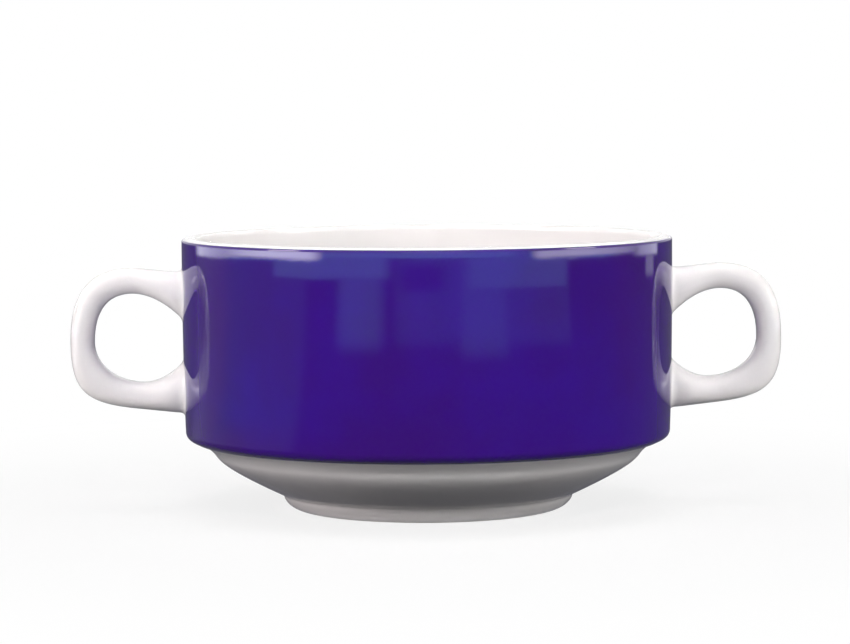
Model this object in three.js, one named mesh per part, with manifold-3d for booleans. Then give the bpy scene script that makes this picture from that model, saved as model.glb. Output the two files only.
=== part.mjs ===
// Stackable porcelain soup cup with two loop handles, in millimetres.
// The cup stands on z = 0 round the Z axis, and its handles lie along X.
import * as THREE from "three";
import { mergeVertices } from "three/addons/utils/BufferGeometryUtils.js";
import Module from "manifold-3d";

const wasm = await Module();
wasm.setup();

// Wall and rim
const cupHeight = 58.5;
const wallRadius = 52.5; // over the glaze, at the rim
const wallDraft = 0.5; // how much narrower the wall is just above the shoulder
const wallBellyRise = 12; // height above the shoulder over which the wall swells to its full radius
const wallThickness = 4; // of the bowl and its glaze, just above the shoulder
const rimThickness = 3.2;
const rimOuterRounding = 0.9;
const rimInnerRounding = 1.2;

// Shoulder, collar and cone: the collar drops into the mouth of the cup below in a stack
const collarHeight = 14.4; // underside of the shoulder
const stackingClearance = 1.45; // between the collar and the mouth that it drops into
const collarDepth = 4.1;
const collarLean = 4; // how far the collar draws in towards the cone
const collarBend = 0.25; // share of the collar, and of the cone's end, in the bend between them
const shoulderRounding = 4.2;
const shoulderLipRun = 1; // near-level stretch from the collar to the rounding
const shoulderLipRise = 0.5;
const coneRun = 6.5; // first stretch of the cone beside the foot
const coneRise = 3.25;

// Inside
const floorThickness = 4.85;
const floorRadius = 26; // flat middle of the floor
const floorDish = 2; // rise of the floor towards the wall
const innerKneeWall = 5.85; // wall between the collar and the inside
const innerCurveRise = 6.4; // height above the shoulder where the inside wall becomes straight
const baseDome = 0.6; // hollow of the underside within the foot

// Foot ring
const footRadius = 31.1;
const footHeight = 3.2;
const footTaper = 6.5; // how far the rounded outside draws in
const footToe = 3.6; // first stretch of the rounding beside the contact ring
const footContactWidth = 2.2;
const footInnerRounding = 1.1;

// Coloured glaze
const glazeThickness = 0.4;
const glazeEdgeAngle = Math.PI / 6; // where the colour ends on the rim's outer rounding

// Handles, reaches measured from the wall
const handleReach = 23.9;
const crestDrop = 6.35; // from the rim to the crest
const heelClearance = 2.5; // from the shoulder to the lower root's underside
const gripSag = 0.325; // how far the middle of the grip lies below the middle of the handle
const gripThickness = 5.2;
const gripWidth = 7.8;
const crestReach = 10.7;
const soleReach = 8; // lowest point of the finger hole
const heelReach = 10; // where the lower arm starts to turn up into the grip
const heelRise = 0.95;
const upperArmThickness = 5.5;
const lowerArmThickness = 5.7;
const upperRootDrop = 0.8; // from the crest to the top of the upper root
const upperRootHeight = 9.05;
const lowerRootHeight = 9.6;
const rootWidth = 11.6;
const rootSpread = 0.9; // rise per millimetre of the finger hole's side at a root
const outerTopFullness = 0.68; // corners: 0.55 is round, 1 is square
const outerBottomFullness = 0.8;
const innerTopFullness = 0.64;
const innerBottomFullness = 0.57;
const sectionSquareness = 2.4; // 2 is an ellipse

// Slip joints between the handle roots and the wall
const slipDepth = 1.2;
const slipFillet = 0.9;
const slipGap = 0.3; // to the bowl and to the edge of the glaze

// Facets
const turnSegments = 64;
const sectionSides = 16;
const armSteps = 5;
const cornerSteps = 8;
const filletSteps = 3;

const mouthRadius = wallRadius - rimThickness;
const collarRadius = mouthRadius - stackingClearance;
const shoulderRadius = wallRadius - wallDraft;
const shoulderHeight = collarHeight + shoulderRounding;
const floorHeight = footHeight + floorThickness;
const footContactOuter = footRadius - footTaper;
const footContactInner = footContactOuter - footContactWidth;
const footInnerRadius = footContactInner - footInnerRounding;
const rimBendRadius = wallRadius - glazeThickness - rimOuterRounding;
const rimBendHeight = cupHeight - rimOuterRounding;
const handleTop = cupHeight - crestDrop;
const handleBottom = shoulderHeight + heelClearance;
const gripHeight = (handleTop + handleBottom) / 2 - gripSag;

function at(across, up) {
  return new THREE.Vector2(across, up);
}

// A turned solid: the profile runs anticlockwise in the half-plane of radius and height.
function turned(profile) {
  return new THREE.LatheGeometry(profile, turnSegments).rotateX(Math.PI / 2);
}

function arc(centre, radius, from, to, steps) {
  const curve = new THREE.EllipseCurve(centre.x, centre.y, radius, radius, from, to, to < from);
  return curve.getPoints(steps);
}

// The outside that carries the glaze, from the collar to the rim, moved inwards by a depth.
function glazedOutside(depth) {
  const shoulder = new THREE.CubicBezierCurve(
    at(collarRadius, collarHeight),
    at(collarRadius + shoulderLipRun, collarHeight + shoulderLipRise),
    at(shoulderRadius, collarHeight + shoulderLipRise),
    at(shoulderRadius, shoulderHeight),
  );
  const wall = new THREE.QuadraticBezierCurve(
    at(shoulderRadius, shoulderHeight),
    at(wallRadius, shoulderHeight + wallBellyRise),
    at(wallRadius, rimBendHeight),
  );
  const points = [];
  for (const [curve, steps] of [[shoulder, 6], [wall, 4]]) {
    const first = points.length === 0 ? 0 : 1;
    for (let step = first; step <= steps; step += 1) {
      const tangent = curve.getTangent(step / steps);
      const inwards = at(-tangent.y, tangent.x).multiplyScalar(depth);
      points.push(curve.getPoint(step / steps).add(inwards));
    }
  }
  const rimRadius = rimOuterRounding + glazeThickness - depth;
  const rim = arc(at(rimBendRadius, rimBendHeight), rimRadius, 0, glazeEdgeAngle, 2);
  return [...points, ...rim.slice(1)];
}

function bowlGeometry() {
  const dome = new THREE.QuadraticBezierCurve(
    at(0, footHeight + baseDome),
    at(footInnerRadius / 2, footHeight + baseDome),
    at(footInnerRadius, footHeight),
  );
  const coneMiddle = at(footRadius + coneRun, footHeight + coneRise);
  const knee = at(collarRadius - collarLean, collarHeight - collarDepth);
  const coneEnd = knee.clone().lerp(coneMiddle, collarBend);
  const collarTop = at(collarRadius, collarHeight);
  const collarStart = knee.clone().lerp(collarTop, collarBend);
  const cone = new THREE.QuadraticBezierCurve(at(footRadius, footHeight), coneMiddle, coneEnd);
  const bend = new THREE.QuadraticBezierCurve(coneEnd, knee, collarStart);
  const innerRadius = shoulderRadius - wallThickness;
  const inside = new THREE.CubicBezierCurve(
    at(innerRadius, shoulderHeight + innerCurveRise),
    at(innerRadius, collarHeight + wallThickness),
    at(collarRadius - innerKneeWall, floorHeight + floorDish),
    at(floorRadius, floorHeight),
  );
  const rimInnerCentre = at(mouthRadius + rimInnerRounding, cupHeight - rimInnerRounding);
  const rimOuterCentre = at(rimBendRadius, rimBendHeight);
  return turned([
    ...dome.getPoints(3),
    ...cone.getPoints(5),
    ...bend.getPoints(4).slice(1),
    collarTop,
    ...glazedOutside(glazeThickness),
    ...arc(rimOuterCentre, rimOuterRounding, glazeEdgeAngle, Math.PI / 2, 2).slice(1),
    ...arc(rimInnerCentre, rimInnerRounding, Math.PI / 2, Math.PI, 4),
    ...inside.getPoints(10),
    at(0, floorHeight),
  ]);
}

function footRingGeometry() {
  const outside = new THREE.CubicBezierCurve(
    at(footContactOuter, 0),
    at(footContactOuter + footToe, 0),
    at(footRadius, footHeight / 2),
    at(footRadius, footHeight),
  );
  const innerCentre = at(footContactInner, footInnerRounding);
  const inside = arc(innerCentre, footInnerRounding, Math.PI, Math.PI * 1.5, 3);
  return turned([
    ...inside,
    ...outside.getPoints(7),
    at(footInnerRadius, footHeight),
    inside[0],
  ]);
}

function toSolid(geometry) {
  const bare = geometry.clone();
  bare.deleteAttribute("normal");
  bare.deleteAttribute("uv");
  const merged = mergeVertices(bare);
  return new wasm.Manifold(new wasm.Mesh({
    numProp: 3,
    vertProperties: new Float32Array(merged.attributes.position.array),
    triVerts: new Uint32Array(merged.index.array),
  }));
}

function toGeometry(solid) {
  const mesh = solid.getMesh();
  const geometry = new THREE.BufferGeometry();
  geometry.setAttribute("position", new THREE.BufferAttribute(mesh.vertProperties, 3));
  geometry.setIndex(new THREE.BufferAttribute(mesh.triVerts, 1));
  geometry.computeVertexNormals();
  return geometry;
}

// A skin over rings of points that have as many points each, with a flat cap on both ends.
function loft(rings) {
  const sides = rings[0].length;
  const points = rings.flat();
  const faces = [];
  for (let ring = 0; ring + 1 < rings.length; ring += 1) {
    for (let side = 0; side < sides; side += 1) {
      const here = ring * sides + side;
      const beside = ring * sides + (side + 1) % sides;
      faces.push(here, here + sides, beside, beside, here + sides, beside + sides);
    }
  }
  for (const [ring, turn] of [[0, 0], [rings.length - 1, 1]]) {
    const centre = points.length;
    const sum = rings[ring].reduce((total, point) => total.add(point), new THREE.Vector3());
    points.push(sum.divideScalar(sides));
    for (let side = 0; side < sides; side += 1) {
      const pair = [ring * sides + side, ring * sides + (side + 1) % sides];
      faces.push(centre, pair[turn], pair[1 - turn]);
    }
  }
  const geometry = new THREE.BufferGeometry().setFromPoints(points);
  geometry.setIndex(faces);
  geometry.computeVertexNormals();
  return geometry;
}

// One section of a handle: a softened rectangle between the loop's outer and inner edge.
function section(outer, inner, halfWidth, margin = 0) {
  const middle = outer.clone().add(inner).divideScalar(2);
  const half = outer.clone().sub(middle);
  half.setLength(half.length() + margin);
  const soften = (value) => Math.sign(value) * Math.abs(value) ** (2 / sectionSquareness);
  const ring = [];
  for (let side = 0; side < sectionSides; side += 1) {
    const angle = (side / sectionSides) * Math.PI * 2;
    const point = half.clone().multiplyScalar(soften(Math.cos(angle))).add(middle);
    const across = (halfWidth + margin) * soften(Math.sin(angle));
    ring.push(new THREE.Vector3(point.x, across, point.y));
  }
  return ring;
}

// Edges of the loop, from the upper root round the grip to the lower root
const rootEnd = wallRadius + slipDepth;
const gripOuter = at(wallRadius + handleReach, gripHeight);
const gripInner = at(wallRadius + handleReach - gripThickness, gripHeight);
const crestOuter = at(wallRadius + crestReach, handleTop);
const crestInner = at(wallRadius + crestReach, handleTop - upperArmThickness);
const heel = at(wallRadius + heelReach, handleBottom + heelRise);
const sole = at(wallRadius + soleReach, handleBottom + heelRise + lowerArmThickness);
const upperRoot = {
  outer: at(rootEnd, handleTop - upperRootDrop),
  inner: at(rootEnd, handleTop - upperRootDrop - upperRootHeight),
};
const lowerRoot = {
  outer: at(rootEnd, handleBottom),
  inner: at(rootEnd, handleBottom + lowerRootHeight),
};

function corner(from, to, point, fullness) {
  const leave = from.clone().lerp(point, fullness);
  const arrive = to.clone().lerp(point, fullness);
  return new THREE.CubicBezierCurve(from, leave, arrive, to);
}

// An arm's edge: level where it meets the loop, and with a given rise per millimetre at the root.
function armEdge(root, rise, end, endRise) {
  const third = (end.x - root.x) / 3;
  const leave = at(root.x + third, root.y + third * rise);
  const arrive = at(end.x - third, end.y - third * endRise);
  return new THREE.CubicBezierCurve(root, leave, arrive, end);
}

function reversed(curve) {
  return new THREE.CubicBezierCurve(curve.v3, curve.v2, curve.v1, curve.v0);
}

function handleGeometry() {
  const heelSlope = heelRise / (heelReach - slipDepth);
  const heelCorner = at(gripOuter.x, heel.y + heelSlope * (gripOuter.x - heel.x));
  const runs = [
    {
      outer: armEdge(upperRoot.outer, 0, crestOuter, 0),
      inner: armEdge(upperRoot.inner, rootSpread, crestInner, 0),
      steps: armSteps,
    },
    {
      outer: corner(crestOuter, gripOuter, at(gripOuter.x, crestOuter.y), outerTopFullness),
      inner: corner(crestInner, gripInner, at(gripInner.x, crestInner.y), innerTopFullness),
      steps: cornerSteps,
    },
    {
      outer: corner(gripOuter, heel, heelCorner, outerBottomFullness),
      inner: corner(gripInner, sole, at(gripInner.x, sole.y), innerBottomFullness),
      steps: cornerSteps,
    },
    {
      outer: reversed(armEdge(lowerRoot.outer, heelSlope, heel, heelSlope)),
      inner: reversed(armEdge(lowerRoot.inner, -rootSpread, sole, 0)),
      steps: armSteps,
    },
  ];
  const rings = [];
  runs.forEach((run, index) => {
    for (let step = index === 0 ? 0 : 1; step <= run.steps; step += 1) {
      const outer = run.outer.getPoint(step / run.steps);
      const inner = run.inner.getPoint(step / run.steps);
      const middle = (outer.x + inner.x) / 2;
      const slim = THREE.MathUtils.smoothstep(middle, rootEnd, crestOuter.x);
      rings.push(section(outer, inner, THREE.MathUtils.lerp(rootWidth, gripWidth, slim) / 2));
    }
  });
  return loft(rings);
}

// A root's outline where its fillet has run out onto the wall
function wallOutline(root, outerRise) {
  const spread = rootSpread * slipDepth + slipFillet;
  return {
    outer: at(wallRadius, root.outer.y + outerRise * slipFillet),
    inner: at(wallRadius, root.inner.y - outerRise * spread),
  };
}

// The pad of slip under a root: its edges run from the handle's end to lie against the wall.
// outerRise is 1 where the loop's outer edge is the upper one, and -1 where it is the lower one.
function slipGeometry(root, outerRise) {
  const foot = wallOutline(root, outerRise);
  const innerKnee = at(wallRadius, root.inner.y - outerRise * rootSpread * slipDepth);
  const outerKnee = at(wallRadius, root.outer.y);
  const outerEdge = new THREE.QuadraticBezierCurve(foot.outer, outerKnee, root.outer);
  const innerEdge = new THREE.QuadraticBezierCurve(foot.inner, innerKnee, root.inner);
  const sunk = at(-wallThickness / 2, 0);
  const footWidth = rootWidth / 2 + slipFillet;
  const rings = [section(foot.outer.clone().add(sunk), foot.inner.clone().add(sunk), footWidth)];
  for (let step = 0; step <= filletSteps; step += 1) {
    const part = step / filletSteps;
    const halfWidth = rootWidth / 2 + slipFillet * (1 - part) ** 2;
    rings.push(section(outerEdge.getPoint(part), innerEdge.getPoint(part), halfWidth));
  }
  if (outerRise < 0) {
    rings.reverse();
  }
  const outside = glazedOutside(glazeThickness - slipGap);
  const lower = outside[0];
  const upper = outside[outside.length - 1];
  const core = [at(lower.x / 2, lower.y), ...outside, at(lower.x / 2, upper.y), at(lower.x / 2, lower.y)];
  return toGeometry(toSolid(loft(rings)).subtract(toSolid(turned(core))));
}

// The coat of colour, cut out round each handle root
function colourBandGeometry() {
  const outside = glazedOutside(0);
  const inside = glazedOutside(glazeThickness).reverse();
  let band = toSolid(turned([...outside, ...inside, outside[0]]));
  for (const [root, outerRise] of [[upperRoot, 1], [lowerRoot, -1]]) {
    const foot = wallOutline(root, outerRise);
    const halfWidth = rootWidth / 2 + slipFillet;
    const rings = [-wallThickness, wallThickness].map((reach) => {
      const shift = at(reach * outerRise, 0);
      return section(foot.outer.clone().add(shift), foot.inner.clone().add(shift), halfWidth, slipGap);
    });
    const opening = loft(rings);
    band = band.subtract(toSolid(opening));
    band = band.subtract(toSolid(opening.clone().rotateZ(Math.PI)));
  }
  return toGeometry(band);
}

function porcelain() {
  return new THREE.MeshStandardMaterial({ color: 0xf3f1ee, roughness: 0.12, metalness: 0 });
}

function cobaltGlaze() {
  return new THREE.MeshStandardMaterial({ color: 0x3b1a76, roughness: 0.08, metalness: 0 });
}

function named(name, geometry, material) {
  const mesh = new THREE.Mesh(geometry, material);
  mesh.name = name;
  return mesh;
}

const cup = new THREE.Group();
cup.add(named("bowl", bowlGeometry(), porcelain()));
cup.add(named("foot_ring", footRingGeometry(), porcelain()));
cup.add(named("colour_band", colourBandGeometry(), cobaltGlaze()));

// Both handles come from one mould, and the left one is turned half round the cup.
const handle = handleGeometry();
const upperSlip = slipGeometry(upperRoot, 1);
const lowerSlip = slipGeometry(lowerRoot, -1);
for (const [side, turn] of [["right", 0], ["left", Math.PI]]) {
  const group = new THREE.Group();
  group.rotation.z = turn;
  group.add(named(`handle_${side}`, handle, porcelain()));
  group.add(named(`slip_joint_${side}_upper`, upperSlip, porcelain()));
  group.add(named(`slip_joint_${side}_lower`, lowerSlip, porcelain()));
  cup.add(group);
}

export default cup;
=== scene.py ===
import math

import bpy
import numpy as np
from mathutils import Matrix, Vector


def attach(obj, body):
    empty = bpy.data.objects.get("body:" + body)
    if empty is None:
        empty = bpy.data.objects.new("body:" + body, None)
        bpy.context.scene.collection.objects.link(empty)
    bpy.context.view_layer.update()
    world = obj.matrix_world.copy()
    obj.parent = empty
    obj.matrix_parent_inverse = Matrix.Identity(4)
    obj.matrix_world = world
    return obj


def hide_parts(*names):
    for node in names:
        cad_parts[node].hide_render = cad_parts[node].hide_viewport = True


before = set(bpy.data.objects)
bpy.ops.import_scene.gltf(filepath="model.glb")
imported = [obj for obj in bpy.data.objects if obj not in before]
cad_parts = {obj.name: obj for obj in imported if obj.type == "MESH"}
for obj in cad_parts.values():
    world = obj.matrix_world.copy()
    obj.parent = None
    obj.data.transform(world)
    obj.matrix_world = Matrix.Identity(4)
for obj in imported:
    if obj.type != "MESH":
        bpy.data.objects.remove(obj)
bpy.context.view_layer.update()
scene = bpy.context.scene
print("frame loaded:", len(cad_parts), "nodes")

# Lengths below are millimetres, as in the part's source; meshes are put in metres.
mm = 0.001
tiny = 1e-5  # a shorter length counts as none
columns = 320  # points round every turned piece
sharpAngle = 38.0  # degrees between two faces from which their edge is shaded sharp


# Bezier curve: the control points weighted by the Bernstein polynomials of t.
def bezier(controls, steps):
    t = np.linspace(0.0, 1.0, steps + 1)[:, None]
    degree = len(controls) - 1
    curve = np.zeros((steps + 1, 2))
    for k, control in enumerate(controls):
        weight = math.comb(degree, k) * t**k * (1 - t) ** (degree - k)
        curve += weight * np.array(control, float)
    return curve


# Arc: centre plus radius times the cosine and sine of a swept angle in degrees.
def arc(centre, radius, start, stop, steps):
    angle = np.radians(np.linspace(start, stop, steps + 1))
    x, y = centre[0] + radius * np.cos(angle), centre[1] + radius * np.sin(angle)
    return np.stack([x, y], axis=1)


# Straight run from one profile point to another, ends included.
def straight(start, stop, steps):
    return bezier([start, stop], steps)


# Joins runs of a profile and drops points that repeat.
def joined(runs):
    points = np.concatenate(runs)
    step = np.linalg.norm(np.diff(points, axis=0), axis=1)
    return points[np.concatenate([[True], step > tiny])]


# Length along a profile from its first point.
def lengthAlong(profile):
    step = np.linalg.norm(np.diff(profile, axis=0), axis=1)
    return np.concatenate([[0.0], np.cumsum(step)])


# Profile moved to its left by a distance: its tangent turned a quarter, times the distance.
def movedIn(profile, distance):
    tangent = np.gradient(profile, lengthAlong(profile), axis=0)
    tangent /= np.linalg.norm(tangent, axis=1, keepdims=True)
    left = np.stack([-tangent[:, 1], tangent[:, 0]], axis=1)
    return profile + left * np.reshape(distance, (-1, 1))


# Smooth step from 0 at start to 1 at stop: 3 t squared less 2 t cubed.
def smoothStep(value, start, stop):
    t = np.clip((value - start) / (stop - start), 0, 1)
    return t * t * (3 - 2 * t)


# Quads of a grid of vertex numbers that closes on itself in its second direction.
def gridQuads(lower, upper):
    corners = [lower, np.roll(lower, -1, 1), np.roll(upper, -1, 1), upper]
    return np.stack(corners, axis=2).reshape(-1, 4)


# Grid turned about the axis: (r cos a, r sin a, z) for each profile point and angle.
def turnedGrid(profile):
    angle = np.arange(columns) * 2 * math.pi / columns
    radius, height = profile[:, :1], profile[:, 1:]
    return np.stack([radius * np.cos(angle), radius * np.sin(angle), height + 0 * angle], axis=2)


# Turned surface over that grid. A profile point on the axis becomes one pole, and a closed
# profile joins its end to its start.
def turned(profile, closed):
    number = np.arange(len(profile) * columns).reshape(-1, columns)
    onAxis = profile[:, 0] < tiny
    number[onAxis] = number[onAxis][:, :1]
    if closed:
        quads = gridQuads(number, np.roll(number, -1, 0))
    else:
        quads = gridQuads(number[:-1], number[1:])
    return turnedGrid(profile).reshape(-1, 3), quads


# Mesh object from points in millimetres and quads; quads at a pole become triangles and
# spare points go.
def makePiece(name, points, quads, node, material, triangles=None):
    atStart, atEnd = quads[:, 0] == quads[:, 1], quads[:, 2] == quads[:, 3]
    fans = [quads[atStart][:, [0, 2, 3]], quads[atEnd][:, :3]]
    fans = np.concatenate(fans + ([triangles] if triangles is not None else []))
    quads = quads[~(atStart | atEnd)]
    used = np.unique(np.concatenate([quads.ravel(), fans.ravel()]))
    renumber = np.zeros(len(points), int)
    renumber[used] = np.arange(len(used))
    faces = renumber[quads].tolist() + renumber[fans].tolist()
    mesh = bpy.data.meshes.new(name)
    mesh.from_pydata((points[used] * mm).tolist(), [], faces)
    mesh.shade_smooth()
    mesh.set_sharp_from_angle(angle=math.radians(sharpAngle))
    mesh.materials.append(material)
    piece = bpy.data.objects.new(name, mesh)
    scene.collection.objects.link(piece)
    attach(piece, "root")
    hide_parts(node)
    return piece, used


# Shader node with its properties set by keyword and its sockets by dictionary, linked where
# a value is a socket.
def addNode(tree, kind, sockets=None, **properties):
    made = tree.nodes.new("ShaderNode" + kind)
    for key, value in properties.items():
        setattr(made, key, value)
    for key, value in (sockets or {}).items():
        if isinstance(value, bpy.types.NodeSocket):
            tree.links.new(value, made.inputs[key])
        else:
            made.inputs[key].default_value = value
    return made


def newMaterial(name):
    material = bpy.data.materials.new(name)
    material.use_nodes = True
    tree = material.node_tree
    tree.nodes.clear()
    return material, tree


def noise(tree, coords, scale, detail=2.0, roughness=0.5):
    sockets = {"Vector": coords, "Scale": scale, "Detail": detail, "Roughness": roughness}
    return addNode(tree, "TexNoise", sockets).outputs["Fac"]


def mapped(tree, value, fromMin, fromMax, toMin, toMax, smooth=False):
    sockets = {
        "Value": value, "From Min": fromMin, "From Max": fromMax, "To Min": toMin, "To Max": toMax}
    kind = "SMOOTHSTEP" if smooth else "LINEAR"
    return addNode(tree, "MapRange", sockets, interpolation_type=kind).outputs["Result"]


def mixed(tree, factor, colourA, colourB):
    sockets = {0: factor, 6: colourA, 7: colourB}
    return addNode(tree, "Mix", sockets, data_type="RGBA").outputs[2]


def maths(tree, operation, a, b):
    return addNode(tree, "Math", {0: a, 1: b}, operation=operation).outputs["Value"]


# Small round specks: the distance to the nearest Voronoi point, kept in the few cells whose
# random value is high.
def specks(tree, coords, scale, size, share):
    cells = addNode(tree, "TexVoronoi", {"Vector": coords, "Scale": scale})
    pick = addNode(tree, "SeparateColor", {"Color": cells.outputs["Color"]}).outputs["Red"]
    core = size * 0.6  # full strength inside, faded out at the size
    near = mapped(tree, cells.outputs["Distance"], core, size, 1.0, 0.0, smooth=True)
    return maths(tree, "MULTIPLY", near, maths(tree, "GREATER_THAN", pick, 1.0 - share))


# Colour of a glaze: clouds of two tones, with rare flecks.
def glazeColour(tree, coords, glaze):
    cloud = noise(tree, coords, *glaze["cloudNoise"])
    tone = mapped(tree, cloud, *glaze["cloudRange"], 0.0, 1.0, smooth=True)
    colour = mixed(tree, tone, *glaze["tones"])
    return mixed(tree, specks(tree, coords, *glaze["flecks"]), colour, glaze["fleckColour"])


# Height of a glaze: a soft ripple and a fine orange peel.
def glazeRelief(tree, coords, glaze):
    ripple = noise(tree, coords, glaze["rippleScale"], 1.0)
    peel = noise(tree, coords, glaze["peelScale"], 1.0)
    return maths(tree, "ADD", ripple, maths(tree, "MULTIPLY", peel, glaze["peelHeight"]))


# Shader of a glaze from its colour, roughness and height.
def finishMaterial(tree, colour, roughness, height, bump):
    sockets = {"Height": height, "Strength": bump["strength"], "Distance": bump["distance"]}
    relief = addNode(tree, "Bump", sockets)
    shader = addNode(tree, "BsdfPrincipled", {
        "IOR": 1.5, "Specular IOR Level": 0.5, "Base Color": colour, "Roughness": roughness,
        "Normal": relief.outputs["Normal"]})
    addNode(tree, "OutputMaterial", {"Surface": shader.outputs["BSDF"]})


porcelain = dict(
    tones=((0.835, 0.818, 0.810, 1.0), (0.875, 0.862, 0.855, 1.0)),
    cloudNoise=(42.0, 3.0, 0.5),  # scale, detail, roughness
    cloudRange=(0.35, 0.68),
    flecks=(150.0, 0.035, 0.04),  # scale, size, share of the cells
    fleckColour=(0.50, 0.43, 0.37, 1.0),
    fineScale=260.0, fineRange=(0.3, 0.7), gloss=(0.055, 0.12),
    rippleScale=75.0, peelScale=900.0, peelHeight=0.05,
    bareTones=((0.69, 0.66, 0.62, 1.0), (0.60, 0.57, 0.53, 1.0)),  # clay where glaze is wiped off
    bareTop=0.35 * mm, bareFade=(0.8, 1.2), bareWander=0.4 * mm, bareRoughness=0.6,
    grainNoise=(2600.0, 3.0, 0.7), grainHeight=0.4,
    bump=dict(strength=0.5, distance=0.06 * mm),
)


# White glaze: a faint cloudy tone, rare pale-brown flecks, a soft ripple and a fine orange peel.
# Where wiped is set, the ring that stands on the table is bare, matt clay below a slightly
# uneven line.
def whiteGlaze(name, wiped=False):
    material, tree = newMaterial(name)
    coords = addNode(tree, "TexCoord").outputs["Object"]
    colour = glazeColour(tree, coords, porcelain)
    fine = noise(tree, coords, porcelain["fineScale"])
    roughness = mapped(tree, fine, *porcelain["fineRange"], *porcelain["gloss"])
    height = glazeRelief(tree, coords, porcelain)
    if wiped:
        up = addNode(tree, "SeparateXYZ", {"Vector": coords}).outputs["Z"]
        wander = maths(tree, "SUBTRACT", fine, 0.5)
        wander = maths(tree, "MULTIPLY", wander, porcelain["bareWander"])
        fade = [porcelain["bareTop"] * part for part in porcelain["bareFade"]]
        bare = mapped(tree, maths(tree, "ADD", up, wander), *fade, 1.0, 0.0)
        grain = noise(tree, coords, *porcelain["grainNoise"])
        colour = mixed(tree, bare, colour, mixed(tree, grain, *porcelain["bareTones"]))
        matt = maths(tree, "MULTIPLY", bare, porcelain["bareRoughness"])
        roughness = maths(tree, "ADD", roughness, matt)
        grit = maths(tree, "MULTIPLY", grain, bare)
        grit = maths(tree, "MULTIPLY", grit, porcelain["grainHeight"])
        height = maths(tree, "ADD", height, grit)
    finishMaterial(tree, colour, roughness, height, porcelain["bump"])
    return material


cobalt = dict(
    tones=((0.0315, 0.0015, 0.146, 1.0), (0.0310, 0.0023, 0.196, 1.0)),
    cloudNoise=(30.0, 4.0, 0.55),  # scale, detail, roughness
    cloudRange=(0.36, 0.66),
    flecks=(120.0, 0.04, 0.05),  # scale, size, share of the cells
    fleckColour=(0.22, 0.17, 0.46, 1.0),
    thinColour=(0.36, 0.33, 0.60, 1.0),  # where the coat runs out and the white shows through
    thinDepth=0.5, thinScale=420.0, thinWander=0.25,
    fineScale=300.0, fineRange=(0.3, 0.7), gloss=(0.012, 0.03),
    rippleScale=55.0, peelScale=800.0, peelHeight=0.03,
    bump=dict(strength=0.6, distance=0.03 * mm),
)


# Coloured glaze: deep and lighter clouds, pale edges where the coat thins, rare flecks and a
# slow ripple.
def cobaltGlaze(name):
    material, tree = newMaterial(name)
    coords = addNode(tree, "TexCoord").outputs["Object"]
    depth = addNode(tree, "Attribute", attribute_name="glazeDepth").outputs["Fac"]
    wander = maths(tree, "SUBTRACT", noise(tree, coords, cobalt["thinScale"]), 0.5)
    wander = maths(tree, "MULTIPLY", wander, cobalt["thinWander"])
    uneven = maths(tree, "ADD", depth, wander)
    thin = mapped(tree, uneven, 0.0, cobalt["thinDepth"], 1.0, 0.0, smooth=True)
    colour = mixed(tree, thin, glazeColour(tree, coords, cobalt), cobalt["thinColour"])
    fine = noise(tree, coords, cobalt["fineScale"])
    roughness = mapped(tree, fine, *cobalt["fineRange"], *cobalt["gloss"])
    finishMaterial(tree, colour, roughness, glazeRelief(tree, coords, cobalt), cobalt["bump"])
    return material


bodyWhite = whiteGlaze("white_glaze_body")
footWhite = whiteGlaze("white_glaze_foot", wiped=True)
handleWhite = whiteGlaze("white_glaze_handle")
coatBlue = cobaltGlaze("cobalt_glaze_coat")
print("glazes mixed")

cup = dict(
    height=58.5, wallRadius=52.5, wallDraft=0.5, wallBellyRise=13.4, wallThickness=4.0,
    rimThickness=3.2, rimOuterRounding=0.9, rimInnerRounding=1.2,
    coatEdge=(49.6, 14.65),  # radius and height where the coat ends under the shoulder
    shoulderRounding=2.55, shoulderLipRun=1.3, shoulderLipRise=0.75,
    # radius and height: hollow under the lip, top and end of the straight stretch, bend, cone's top
    collarCurve=[(46.95, 13.62), (45.85, 12.20), (45.50, 11.72), (44.60, 10.45), (41.55, 8.62)],
    coneRun=7.0, coneRise=3.33, baseDome=0.6,
    floorThickness=4.85, floorRadius=26.0, floorDish=2.0,
    innerKneeRadius=42.0, innerCurveRise=7.8, innerBendRise=1.2,
    glazeThickness=0.4, glazeEdgeAngle=30.0,
    footRadius=31.1, footHeight=3.2, footTaper=4.6, footToe=2.6, footContactWidth=4.1,
    footInnerRounding=1.1,
    footFillet=0.4,  # glaze that has pooled in the corner between the foot and the cone
)
# Steps along each run of the turned profiles.
profileSteps = dict(
    shoulder=30, wall=48, rimEdge=8, rimOuter=10, rimInner=14, mouth=24, inside=48, floor=16,
    dome=20, cone=30, bend=18, collar=6, lip=24,
    footInner=12, contact=3, footOutside=40, fillet=12, seat=4,
)
mouthRadius = cup["wallRadius"] - cup["rimThickness"]
shoulderRadius = cup["wallRadius"] - cup["wallDraft"]
shoulderHeight = cup["coatEdge"][1] + cup["shoulderRounding"]
floorHeight = cup["footHeight"] + cup["floorThickness"]
contactOuter = cup["footRadius"] - cup["footTaper"]
contactInner = contactOuter - cup["footContactWidth"]
footInnerRadius = contactInner - cup["footInnerRounding"]
rimBend = (
    cup["wallRadius"] - cup["glazeThickness"] - cup["rimOuterRounding"],
    cup["height"] - cup["rimOuterRounding"])


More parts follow.
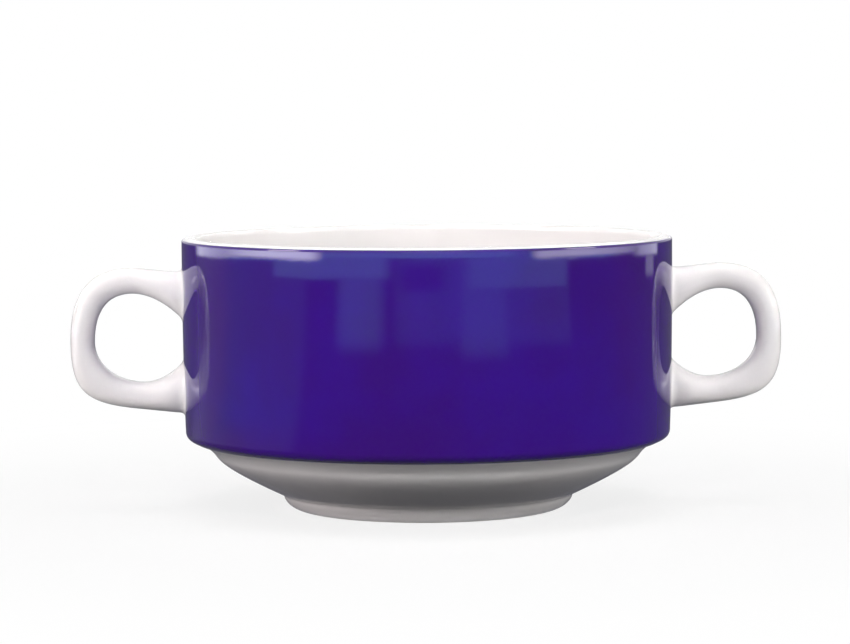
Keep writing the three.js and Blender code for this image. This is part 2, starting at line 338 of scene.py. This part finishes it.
# Outside over the coat: shoulder curve from its lower edge, slightly swelling wall, arc on the rim.
def coatOutside():
    edge, lipHeight = cup["coatEdge"], cup["coatEdge"][1] + cup["shoulderLipRise"]
    shoulder = bezier([
        edge, (edge[0] + cup["shoulderLipRun"], lipHeight), (shoulderRadius, lipHeight),
        (shoulderRadius, shoulderHeight)], profileSteps["shoulder"])
    wall = bezier([
        (shoulderRadius, shoulderHeight),
        (cup["wallRadius"], shoulderHeight + cup["wallBellyRise"]),
        (cup["wallRadius"], rimBend[1])], profileSteps["wall"])
    rounding = cup["rimOuterRounding"] + cup["glazeThickness"]
    rim = arc(rimBend, rounding, 0, cup["glazeEdgeAngle"], profileSteps["rimEdge"])
    return joined([shoulder, wall, rim])


# Cone and collar: a slightly hollow curve from the foot, a bend, a straight leaning stretch, and
# a hollow out to the lip, which ends flush under the coat's lower edge.
def coneProfile():
    start = np.array([cup["footRadius"], cup["footHeight"]])
    hollow, collarTop, collarEnd, knee, coneTop = cup["collarCurve"]
    lip = movedIn(coatOutside(), cup["glazeThickness"])[0]
    return joined([
        bezier([start, start + (cup["coneRun"], cup["coneRise"]), coneTop], profileSteps["cone"]),
        bezier([coneTop, knee, collarEnd], profileSteps["bend"]),
        straight(collarEnd, collarTop, profileSteps["collar"]),
        bezier([collarTop, hollow, lip], profileSteps["lip"])])


# Bowl profile, anticlockwise: dome under the base, cone and collar, wall under the coat, rim,
# inside, floor.
def bowlProfile():
    foot, domeTop = cup["footHeight"], cup["footHeight"] + cup["baseDome"]
    dome = bezier([
        (0, domeTop), (footInnerRadius / 2, domeTop),
        (footInnerRadius, foot)], profileSteps["dome"])
    innerRadius = shoulderRadius - cup["wallThickness"]
    inside = bezier([
        (innerRadius, shoulderHeight + cup["innerCurveRise"]),
        (innerRadius, shoulderHeight + cup["innerBendRise"]),
        (cup["innerKneeRadius"], floorHeight + cup["floorDish"]),
        (cup["floorRadius"], floorHeight)], profileSteps["inside"])
    rimInner = (mouthRadius + cup["rimInnerRounding"], cup["height"] - cup["rimInnerRounding"])
    return joined([
        dome, coneProfile(), movedIn(coatOutside(), cup["glazeThickness"]),
        arc(rimBend, cup["rimOuterRounding"], cup["glazeEdgeAngle"], 90, profileSteps["rimOuter"]),
        arc(rimInner, cup["rimInnerRounding"], 90, 180, profileSteps["rimInner"]),
        straight((mouthRadius, rimInner[1]), inside[0], profileSteps["mouth"]), inside,
        straight(inside[-1], (0, floorHeight), profileSteps["floor"])])


points, quads = turned(bowlProfile(), False)
makePiece("porcelain_bowl", points, quads, "bowl", bodyWhite)
print("bowl turned:", len(quads), "faces")


# Foot profile, anticlockwise: inner rounding, bare contact ring, rounded outside, hollow fillet
# onto the cone, seat.
def footProfile():
    radius, height, fillet = cup["footRadius"], cup["footHeight"], cup["footFillet"]
    cone = coneProfile()
    reach = [np.interp(fillet, lengthAlong(cone), cone[:, k]) for k in (0, 1)]
    rounding = cup["footInnerRounding"]
    inner = arc((contactInner, rounding), rounding, 180, 270, profileSteps["footInner"])
    contact = straight((contactInner, 0), (contactOuter, 0), profileSteps["contact"])
    outside = bezier([
        (contactOuter, 0), (contactOuter + cup["footToe"], 0), (radius, height / 2),
        (radius, height)], profileSteps["footOutside"])
    outside = outside[outside[:, 1] < height - fillet]
    hollow = bezier([outside[-1], (radius, height), reach], profileSteps["fillet"])
    seat = straight(reach, (footInnerRadius, height), profileSteps["seat"])
    return joined([inner, contact, outside, hollow, seat])


points, quads = turned(footProfile(), True)
makePiece("foot_ring_glazed", points, quads, "foot_ring", footWhite)
print("foot ring turned:", len(quads), "faces")

loop = dict(
    reach=23.9, crestDrop=6.35, heelClearance=3.90,
    gripSag=0.325, gripThickness=5.2, gripWidth=7.8,
    crestReach=10.7, soleReach=8.0, heelReach=10.0, heelRise=0.95,
    upperArmThickness=5.5, lowerArmThickness=5.7,
    upperRootDrop=0.8, upperRootHeight=9.05, lowerRootHeight=9.6, rootWidth=11.6, rootSpread=0.9,
    outerTopFullness=0.68, outerBottomFullness=0.8, innerTopFullness=0.64, innerBottomFullness=0.57,
    squareness=2.4, sides=72, armSteps=26, cornerSteps=44,
)
slip = dict(depth=1.2, fillet=0.9, steps=14, lip=0.03, neckInset=0.9, neckDepth=0.36)
rootEnd = cup["wallRadius"] + slip["depth"]
handleTop = cup["height"] - loop["crestDrop"]
handleBottom = shoulderHeight + loop["heelClearance"]
outsideProfile = coatOutside()


# Edges of the loop from the upper root to the lower one: arms that leave the roots at a slope,
# and corners whose control points lie part of the way to a sharp corner.
def loopEdges():
    wall = cup["wallRadius"]
    gripHeight = (handleTop + handleBottom) / 2 - loop["gripSag"]
    gripOuter = (wall + loop["reach"], gripHeight)
    gripInner = (wall + loop["reach"] - loop["gripThickness"], gripHeight)
    crestOuter = (wall + loop["crestReach"], handleTop)
    crestInner = (wall + loop["crestReach"], handleTop - loop["upperArmThickness"])
    heel = (wall + loop["heelReach"], handleBottom + loop["heelRise"])
    sole = (wall + loop["soleReach"], heel[1] + loop["lowerArmThickness"])
    upperTop = handleTop - loop["upperRootDrop"]
    upperRoot = (upperTop, upperTop - loop["upperRootHeight"])
    lowerRoot = (handleBottom, handleBottom + loop["lowerRootHeight"])
    heelSlope = loop["heelRise"] / (loop["heelReach"] - slip["depth"])

    def arm(rootHeight, rise, end, endRise):
        third = (end[0] - rootEnd) / 3
        return bezier([
            (rootEnd, rootHeight), (rootEnd + third, rootHeight + third * rise),
            (end[0] - third, end[1] - third * endRise), end], loop["armSteps"])

    def corner(start, stop, point, fullness):
        start, stop, point = (np.array(p, float) for p in (start, stop, point))
        leave, arrive = start + (point - start) * fullness, stop + (point - stop) * fullness
        return bezier([start, leave, arrive, stop], loop["cornerSteps"])

    heelCorner = (gripOuter[0], heel[1] + heelSlope * (gripOuter[0] - heel[0]))
    outer = joined([
        arm(upperRoot[0], 0, crestOuter, 0),
        corner(crestOuter, gripOuter, (gripOuter[0], crestOuter[1]), loop["outerTopFullness"]),
        corner(gripOuter, heel, heelCorner, loop["outerBottomFullness"]),
        arm(lowerRoot[0], heelSlope, heel, heelSlope)[::-1]])
    inner = joined([
        arm(upperRoot[1], loop["rootSpread"], crestInner, 0),
        corner(crestInner, gripInner, (gripInner[0], crestInner[1]), loop["innerTopFullness"]),
        corner(gripInner, sole, (gripInner[0], sole[1]), loop["innerBottomFullness"]),
        arm(lowerRoot[1], -loop["rootSpread"], sole, 0)[::-1]])
    return outer, inner, [upperRoot, lowerRoot]


# Rings of a softened rectangle: the middle of the two edges plus half their gap times C(a), and
# half the width times S(a) across, where C and S are cosine and sine raised to 2 / squareness
# with their signs kept.
def ringsBetween(outer, inner, halfWidth):
    angle = np.arange(loop["sides"]) * 2 * math.pi / loop["sides"]
    power = 2 / loop["squareness"]
    c, s = (np.sign(v) * np.abs(v) ** power for v in (np.cos(angle), np.sin(angle)))
    middle, half = (outer + inner) / 2, (outer - inner) / 2
    flat = middle[:, None, :] + half[:, None, :] * c[None, :, None]
    return np.stack([flat[..., 0], np.reshape(halfWidth, (-1, 1)) * s, flat[..., 1]], axis=2)


# Heights of a root's two edges and its half width where its fillet, at t from wall 0 to root 1,
# has spread by (1 - t)^2.
def filletOutline(root, outerRise, t):
    spread = slip["fillet"] * (1 - t) ** 2
    away = slip["depth"] * (1 - t**2) * loop["rootSpread"]
    outer = root[0] + outerRise * spread
    inner = root[1] - outerRise * (away + spread)
    return outer, inner, loop["rootWidth"] / 2 + spread


# Distance along X to the coat's outside at a place across and up, less a depth.
def wallReach(across, up, depth=0.0):
    radius = np.interp(up, outsideProfile[:, 1], outsideProfile[:, 0])
    return np.sqrt((radius - depth) ** 2 - across**2)


# Pad of slip under a root, from the wall to the root: the outline above, reaching from the wall
# by t^2. Its hidden rings fill the opening in the coat.
def slipRings(root, outerRise):
    t = np.linspace(0.0, 1.0, slip["steps"] + 1)
    outer, inner, halfWidth = filletOutline(root, outerRise, t)
    flat = np.zeros_like(t)
    rings = ringsBetween(np.stack([flat, outer], 1), np.stack([flat, inner], 1), halfWidth)
    wall = wallReach(rings[..., 1], rings[..., 2]) + slip["lip"] * (1 - t[:, None])
    rings[..., 0] = wall + (rootEnd - wall) * t[:, None] ** 2
    foot = rings[0].copy()
    centre = foot.mean(axis=0)
    inset = 1 - slip["neckInset"] / np.ptp(foot[:, 1:], axis=0) * 2
    neck = foot.copy()
    neck[:, 1:] = centre[1:] + (foot[:, 1:] - centre[1:]) * inset
    hidden = []
    for outline, depth in ((neck, slip["neckDepth"]), (neck, 0.0), (foot, 0.0)):
        ring = outline.copy()
        ring[:, 0] = wallReach(ring[:, 1], ring[:, 2], depth)
        hidden.append(ring)
    return np.array(hidden), rings


# Normals of a grid of rings: cross product of each quad's diagonals, summed at its corners.
def ringNormals(rings):
    across = np.roll(rings, -1, 1)
    flat = np.cross(rings[1:] - across[:-1], across[1:] - rings[:-1])
    total = np.zeros_like(rings)
    total[:-1] += flat + np.roll(flat, 1, 1)
    total[1:] += flat + np.roll(flat, 1, 1)
    return total / np.linalg.norm(total, axis=2, keepdims=True)


# Closed skin over rings, with a fan of triangles to the middle of each end. Its normals are those
# of the whole loop, so that no seam shows where the handle meets its slip; hidden rings have none
# and are shaded by their own faces.
def skin(name, rings, normals, node):
    count, sides = rings.shape[:2]
    number = np.arange(count * sides).reshape(count, sides)
    lower, upper = number[:-1], number[1:]
    quads = np.stack([lower, upper, np.roll(upper, -1, 1), np.roll(lower, -1, 1)], axis=2)
    quads = quads.reshape(-1, 4)
    first, last = np.full(sides, count * sides), np.full(sides, count * sides + 1)
    fans = np.concatenate([
        np.stack([first, number[0], np.roll(number[0], -1)], axis=1),
        np.stack([last, np.roll(number[-1], -1), number[-1]], axis=1)])
    points = np.concatenate([rings.reshape(-1, 3), [rings[0].mean(axis=0), rings[-1].mean(axis=0)]])
    piece, _ = makePiece(name, points, quads, node, handleWhite, fans)
    shown = normals.any(axis=(1, 2))
    corners = normals.reshape(-1, 3)[quads]
    corners[~(shown[:-1] & shown[1:]).repeat(sides)] = 0
    corners = np.concatenate([corners.reshape(-1, 3), np.zeros((fans.size, 3))])
    piece.data.normals_split_custom_set(corners.tolist())


outerEdge, innerEdge, roots = loopEdges()
middleX = (outerEdge[:, 0] + innerEdge[:, 0]) / 2
slim = smoothStep((middleX - rootEnd) / (loop["crestReach"] - slip["depth"]), 0, 1)
width = loop["rootWidth"] + (loop["gripWidth"] - loop["rootWidth"]) * slim
loopRings = ringsBetween(outerEdge, innerEdge, width / 2)
upperHidden, upperRings = slipRings(roots[0], 1)
lowerHidden, lowerRings = slipRings(roots[1], -1)
whole = np.concatenate([upperRings, loopRings[1:], lowerRings[::-1][1:]])
wholeNormals = ringNormals(whole)
noNormals = np.zeros_like(upperHidden)
rootA, rootB = slip["steps"], slip["steps"] + len(loopRings) - 1
upperPad = np.concatenate([upperHidden, whole[:rootA + 1]])
upperNormals = np.concatenate([noNormals, wholeNormals[:rootA + 1]])
lowerPad = np.concatenate([whole[rootB:], lowerHidden[::-1]])
lowerNormals = np.concatenate([wholeNormals[rootB:], noNormals])
grip, gripNormals = whole[rootA:rootB + 1], wholeNormals[rootA:rootB + 1]
for side, turn in (("right", 1.0), ("left", -1.0)):
    halfTurn = np.array([turn, turn, 1.0])
    skin(f"loop_handle_{side}", grip * halfTurn, gripNormals * halfTurn, f"handle_{side}")
    skin(f"slip_fillet_{side}_upper", upperPad * halfTurn, upperNormals * halfTurn,
         f"slip_joint_{side}_upper")
    skin(f"slip_fillet_{side}_lower", lowerPad * halfTurn, lowerNormals * halfTurn,
         f"slip_joint_{side}_lower")
print("handles lofted:", len(loopRings), "rings each")

coat = dict(
    edgeRun=0.4, edgeThickness=0.06, paleRun=0.25,
    holeInset=0.55, holePale=0.4,  # share of the pale run that is added round an opening
)


# Coat of colour: the outside profile with its thickness drawn in to both edges as a quarter
# ellipse, and the bowl's surface under it, both turned; cells inside a handle root's outline are
# left out, and points on the border of such an opening are moved onto the outline.
def colourCoat():
    full = cup["glazeThickness"]
    along = lengthAlong(outsideProfile)
    fromEdge = np.minimum(along, along[-1] - along)
    rise = np.clip(fromEdge / coat["edgeRun"], 0, 1)
    edge = coat["edgeThickness"]
    thickness = edge + (full - edge) * np.sqrt(1 - (1 - rise) ** 2)
    layers = [turnedGrid(movedIn(outsideProfile, inwards)) for inwards in (full - thickness, full)]
    depth = np.tile(np.clip(fromEdge / coat["paleRun"], 0, 1)[:, None], (1, columns))
    taken = np.zeros((len(along) + 1, columns), bool)
    taken[[0, -1]] = True
    power = loop["squareness"]
    for root, outerRise in zip(roots, (1, -1)):
        outer, inner, halfWidth = filletOutline(root, outerRise, 0.0)
        centre, tall = (outer + inner) / 2, abs(outer - inner) / 2 - coat["holeInset"]
        wide = halfWidth - coat["holeInset"]
        for turn in (1.0, -1.0):
            x, across, up = (layers[0][..., k] for k in range(3))
            up = up - centre
            # 1 on the opening's outline and endless on the half of the wall without it.
            norm = ((np.abs(across) / wide) ** power + (np.abs(up) / tall) ** power) ** (1 / power)
            norm = np.where(x * turn > 0, norm, np.inf)
            pale = np.clip((norm - 1) * wide / coat["paleRun"] - coat["holePale"], 0, 1)
            depth = np.minimum(depth, pale)
            beside = np.roll(norm, -1, 1)
            cells = (norm[:-1] + norm[1:] + beside[:-1] + beside[1:]) / 4 < 1
            taken[1:-1] |= cells
            around = np.zeros((4,) + norm.shape, bool)
            around[0, :-1], around[1, 1:] = cells, cells
            around[2:] = np.roll(around[:2], 1, 2)
            border = around.any(axis=0) & ~around.all(axis=0)
            across, up = across[border] / norm[border], up[border] / norm[border] + centre
            for layer, inwards in zip(layers, (0.0, full)):
                reach = wallReach(across, up, inwards)
                layer[border] = np.stack([reach * turn, across, up], axis=1)
    number = np.arange(len(along) * columns).reshape(-1, columns)
    below = number + number.size  # same places on the under layer
    kept = ~taken[1:-1].ravel()
    quads = [
        gridQuads(number[:-1], number[1:])[kept],
        gridQuads(below[:-1], below[1:])[kept][:, ::-1]]
    # Walls between the layers, along every edge with a kept cell on one side only.
    beside, besideBelow = np.roll(number, -1, 1), np.roll(below, -1, 1)
    level = np.stack([number, beside, besideBelow, below], axis=2)
    upright = np.stack([beside[1:], beside[:-1], besideBelow[:-1], besideBelow[1:]], axis=2)
    quads += [level[~taken[:-1] & taken[1:]], level[taken[:-1] & ~taken[1:]][:, ::-1]]
    rows, nextRows = taken[1:-1], np.roll(taken, -1, 1)[1:-1]
    quads += [upright[~rows & nextRows], upright[rows & ~nextRows][:, ::-1]]
    points = np.concatenate([layer.reshape(-1, 3) for layer in layers])
    return points, np.concatenate(quads), np.tile(depth.ravel(), 2)


points, quads, depth = colourCoat()
coatPiece, used = makePiece("colour_coat", points, quads, "colour_band", coatBlue)
depthLayer = coatPiece.data.attributes.new("glazeDepth", "FLOAT", "POINT")
depthLayer.data.foreach_set("value", depth[used].astype(np.float32))
print("coat laid on:", len(quads), "faces")

studio = dict(
    floorRadius=12.0, floorRings=24, floorHeight=-0.05,
    floorTones=((0.72, 0.72, 0.72, 1.0), (0.70, 0.695, 0.69, 1.0)),
    grainNoise=(700.0, 3.0), grainRange=(0.3, 0.7), grainShare=0.03,
    nearWhite=0.80, fade=(0.03, 0.20),  # share of plain white by the cup, and where it grows to 1
    # painted light and shade in the tone that bounced light sees on the floor: painted light
    # beside the foot, painted shade under the wall, pale away from it, and where that changes
    paintedBounce=(1.15, 0.02, 0.90), paintedBounceNear=(0.030, 0.033), paintedBounceFar=(0.060, 0.100),
    dome=0.54, domeRange=(0.02, 0.5),  # soft light from above, dim towards the horizon
    lampDistance=1.2, fullBeam=180, warm=(1.0, 0.92, 0.925), white=(1.0, 0.975, 0.965),
    lamps=[
        # name, bearing in degrees with the right positive, elevation, width, height, watts,
        # beam in degrees, aim above the floor, colour
        ("left", -72, 16, 0.35, 0.35, 6.0, 180, 0.02, "warm"),
        ("right", 72, 17, 0.35, 0.35, 4.3, 180, 0.02, "white"),
        ("front_key", 0, 30, 0.14, 0.14, 0.052, 15.5, -0.01, "white"),
        ("front_low", 0, 5, 0.60, 0.12, 0.5, 180, 0.02, "white"),
        ("top", 0, 78, 0.60, 0.60, 3.0, 180, 0.02, "white"),
        ("mouth", 0, 89, 0.10, 0.10, 0.030, 13.5, 0.05, "white"),
    ],
)


# A disc of rings about the origin: radii grow as a square so that the middle is finer.
def studioFloor():
    radius = np.linspace(0.0, 1.0, studio["floorRings"] + 1) ** 2 * studio["floorRadius"] / mm
    profile = np.stack([radius, np.full_like(radius, studio["floorHeight"])], axis=1)
    points, quads = turned(profile[::-1], False)
    atPole = quads[:, 2] == quads[:, 3]
    faces = quads[~atPole].tolist() + quads[atPole][:, :3].tolist()
    mesh = bpy.data.meshes.new("studio_floor")
    mesh.from_pydata((points * mm).tolist(), [], faces)
    floor = bpy.data.objects.new("studio_floor", mesh)
    scene.collection.objects.link(floor)
    return floor


# 1 for camera, glossy and transmission rays, 0 for light that bounces between matt surfaces.
def seenDirectly(tree):
    path = addNode(tree, "LightPath").outputs
    seen = maths(tree, "MAXIMUM", path["Is Camera Ray"], path["Is Glossy Ray"])
    return maths(tree, "MAXIMUM", seen, path["Is Transmission Ray"])


# Pale matt floor that keeps the cup's shadow and runs out into plain white with distance. For
# light that bounces off it, its tone holds painted light beside the foot and painted shade under
# the wall.
def floorMaterial():
    material, tree = newMaterial("studio_floor")
    coords = addNode(tree, "TexCoord").outputs["Object"]
    distance = addNode(tree, "VectorMath", {0: coords}, operation="LENGTH").outputs["Value"]
    far = mapped(tree, distance, *studio["fade"], studio["nearWhite"], 1.0, smooth=True)
    grain = noise(tree, coords, *studio["grainNoise"])
    grain = mapped(tree, grain, *studio["grainRange"], 0.0, studio["grainShare"])
    tone = mixed(tree, grain, *studio["floorTones"])
    seen = seenDirectly(tree)
    # bounced light sees painted light beside the foot and painted shade under the wall
    beside, under, away = studio["paintedBounce"]
    near = mapped(tree, distance, *studio["paintedBounceNear"], beside, under, smooth=True)
    paintedBounceOuter = mapped(tree, distance, *studio["paintedBounceFar"], 0.0, away - under, smooth=True)
    tone = mixed(tree, seen, maths(tree, "ADD", near, paintedBounceOuter), tone)
    paper = addNode(tree, "BsdfDiffuse", {"Color": tone}).outputs[0]
    white = addNode(tree, "Emission", {"Color": (1, 1, 1, 1), "Strength": 1.0}).outputs[0]
    share = maths(tree, "MULTIPLY", far, seen)
    blend = addNode(tree, "MixShader", {0: share, 1: paper, 2: white})
    addNode(tree, "OutputMaterial", {"Surface": blend.outputs[0]})
    return material


studioFloor().data.materials.append(floorMaterial())

# A tent that only reflections see: a dark table from near the foot out to a drum, which is drawn
# as rings by bearing. Its glow at a bearing and a height, where the table counts down from 0 at
# the drum, is the brightest of its windows, with one dark gap in them. A window rises and falls
# between its bearings in smooth steps and rises between its two heights. The glow is tinted blue,
# and turns white where it is bright, far round the cup or near the foot.
tent = dict(
    radius=650.0, start=24.7, rise=46.0, glow=0.14, clearance=0.02,
    bearings=360, tableRings=59, fineRise=30.0, fineStep=0.75, topRings=8,
    tint=(0.45, 1.0, 1.8, 1.0), plain=(0.97, 0.97, 1.15, 1.0),
    plainGlow=(1.4, 3.0), plainTable=(-430, -510),
    plainLeft=(-98, -112), plainRight=(82, 96),  # bearings
    gap=((-17, -11, 1, 7), (6.0, 8.5, 18.5, 20.5)),  # four bearings, four heights
    windows=[
        # four bearings in degrees with the right positive, two heights, strength
        ((-152, -122, -62, -52), (-600, -500), 0.33),
        ((-138, -129, -64, -54), (20.3, 22.0), 3.3),
        ((-128, -73, -58, -46), (20.3, 23.5), 9.4),
        ((-62, -50, 30, 48), (20.5, 26.0), 1.5),
        ((-80, -72, -24, -15), (11.5, 15.0), 1.10),
        ((-48, -38, -27, -17), (-290, -150), 0.72),
        ((-22, -14, 62, 65), (-255, -165), 0.36),
        ((7, 14, 30, 36), (-310, -190), 0.58),
        ((9, 18, 60, 64), (7.6, 9.8), 0.90),
        ((40, 50, 62, 130), (20.3, 23.5), 5.8),
        ((100, 112, 126, 131), (19.5, 21.5), 2.3),
        ((114, 117, 122, 126), (9.0, 14.0), 1.0),
    ],
)


# 1 between the inner two of four limits and 0 outside the outer two, with smooth steps.
def between(value, limits):
    start, full, fade, stop = limits
    return smoothStep(value, start, full) * smoothStep(value, stop, fade)


# Glow of the tent, and how far its tint has turned white, by bearing and height.
def tentGlow(bearing, height):
    glow = np.full_like(bearing, tent["glow"])
    for bearings, heights, strength in tent["windows"]:
        shape = between(bearing, bearings) * smoothStep(height, *heights)
        glow = np.maximum(glow, shape * strength)
    gapBearings, gapHeights = tent["gap"]
    gap = between(bearing, gapBearings) * between(height, gapHeights)
    glow = glow + (tent["glow"] - glow) * gap
    plain = np.max([
        smoothStep(glow, *tent["plainGlow"]), smoothStep(height, *tent["plainTable"]),
        smoothStep(bearing, *tent["plainLeft"]), smoothStep(bearing, *tent["plainRight"])], axis=0)
    return glow, plain


def tentMaterial():
    material, tree = newMaterial("reflection_tent")
    level = addNode(tree, "Attribute", attribute_name="glow").outputs["Fac"]
    plain = addNode(tree, "Attribute", attribute_name="plain").outputs["Fac"]
    colour = mixed(tree, plain, tent["tint"], tent["plain"])
    light = addNode(tree, "Emission", {"Color": colour, "Strength": level})
    addNode(tree, "OutputMaterial", {"Surface": light.outputs[0]})
    return material


def reflectionTent():
    bearing = np.linspace(-180.0, 180.0, tent["bearings"] + 1)[:-1]
    height = np.concatenate([
        np.linspace(tent["start"] - tent["radius"], 0, tent["tableRings"] + 1)[:-1],
        np.arange(0.0, tent["fineRise"], tent["fineStep"]),
        np.linspace(tent["fineRise"], tent["rise"], tent["topRings"] + 1)])
    b, h = np.meshgrid(bearing, height)
    radius, angle = tent["radius"] + np.minimum(h, 0), np.radians(b)
    up = np.maximum(h, tent["clearance"])
    points = np.stack([radius * np.sin(angle), -radius * np.cos(angle), up], axis=2)
    number = np.arange(b.size).reshape(b.shape)
    faces = gridQuads(number[:-1], number[1:])[:, ::-1]
    mesh = bpy.data.meshes.new("reflection_tent")
    mesh.from_pydata((points.reshape(-1, 3) * mm).tolist(), [], faces.tolist())
    for name, values in zip(("glow", "plain"), tentGlow(b, h)):
        layer = mesh.attributes.new(name, "FLOAT", "POINT")
        layer.data.foreach_set("value", values.ravel().astype(np.float32))
    mesh.materials.append(tentMaterial())
    shell = bpy.data.objects.new("reflection_tent", mesh)
    shell.visible_camera = shell.visible_diffuse = False
    shell.visible_transmission = shell.visible_shadow = False
    scene.collection.objects.link(shell)


reflectionTent()

world = bpy.data.worlds.new("studio")
scene.world = world
world.use_nodes = True
tree = world.node_tree
tree.nodes.clear()
direction = addNode(tree, "TexCoord").outputs["Generated"]
upward = addNode(tree, "SeparateXYZ", {"Vector": direction}).outputs["Z"]
dome = mapped(tree, upward, *studio["domeRange"], 0.0, studio["dome"], smooth=True)
seen = seenDirectly(tree)
dome = maths(tree, "MULTIPLY", dome, maths(tree, "SUBTRACT", 1.0, seen))
strength = maths(tree, "ADD", dome, seen)
sky = addNode(tree, "Background", {"Color": (1, 1, 1, 1), "Strength": strength})
addNode(tree, "OutputWorld", {"Surface": sky.outputs[0]})


# Softbox at a distance from the aim: east by the sine of its bearing, south by the cosine, up by
# its elevation. A narrow beam isn't seen in reflections.
def softbox(name, bearing, elevation, width, height, watts, beam, aim, colour):
    light = bpy.data.lights.new(name, "AREA")
    light.shape, light.size, light.size_y = "RECTANGLE", width, height
    light.energy, light.color, light.spread = watts, studio[colour], math.radians(beam)
    b, e = math.radians(bearing), math.radians(elevation)
    away = Vector((math.sin(b) * math.cos(e), -math.cos(b) * math.cos(e), math.sin(e)))
    lamp = bpy.data.objects.new(name, light)
    lamp.location = Vector((0, 0, aim)) + away * studio["lampDistance"]
    lamp.rotation_euler = (-away).to_track_quat("-Z", "Y").to_euler()
    lamp.visible_camera, lamp.visible_glossy = False, beam == studio["fullBeam"]
    scene.collection.objects.link(lamp)


for row in studio["lamps"]:
    softbox(*row)
print("studio lit:", len(studio["lamps"]), "lamps")

# Metres and degrees, and the focal length in pixels of the photograph.
view = dict(
    distance=0.750, height=0.09538, round=3.0, pitch=4.23, pan=0.0373, roll=-0.37,
    focalPixels=3500.36, imageWidth=850)
camera = bpy.data.cameras.new("camera")
camera.sensor_fit, camera.sensor_width = "HORIZONTAL", 36.0
camera.lens = view["focalPixels"] / view["imageWidth"] * camera.sensor_width
camera.clip_start, camera.clip_end = 0.01, 60.0
cameraObject = bpy.data.objects.new("camera", camera)
turnBy = math.radians(view["round"])
east, south = view["distance"] * math.sin(turnBy), view["distance"] * math.cos(turnBy)
cameraObject.matrix_world = (
    Matrix.Translation((-east, -south, view["height"]))
    @ Matrix.Rotation(math.radians(view["pan"]) - turnBy, 4, "Z")
    @ Matrix.Rotation(math.radians(90 - view["pitch"]), 4, "X")
    @ Matrix.Rotation(math.radians(view["roll"]), 4, "Z"))
scene.collection.objects.link(cameraObject)
scene.camera = cameraObject
scene.view_settings.view_transform = "Standard"
print("camera set")
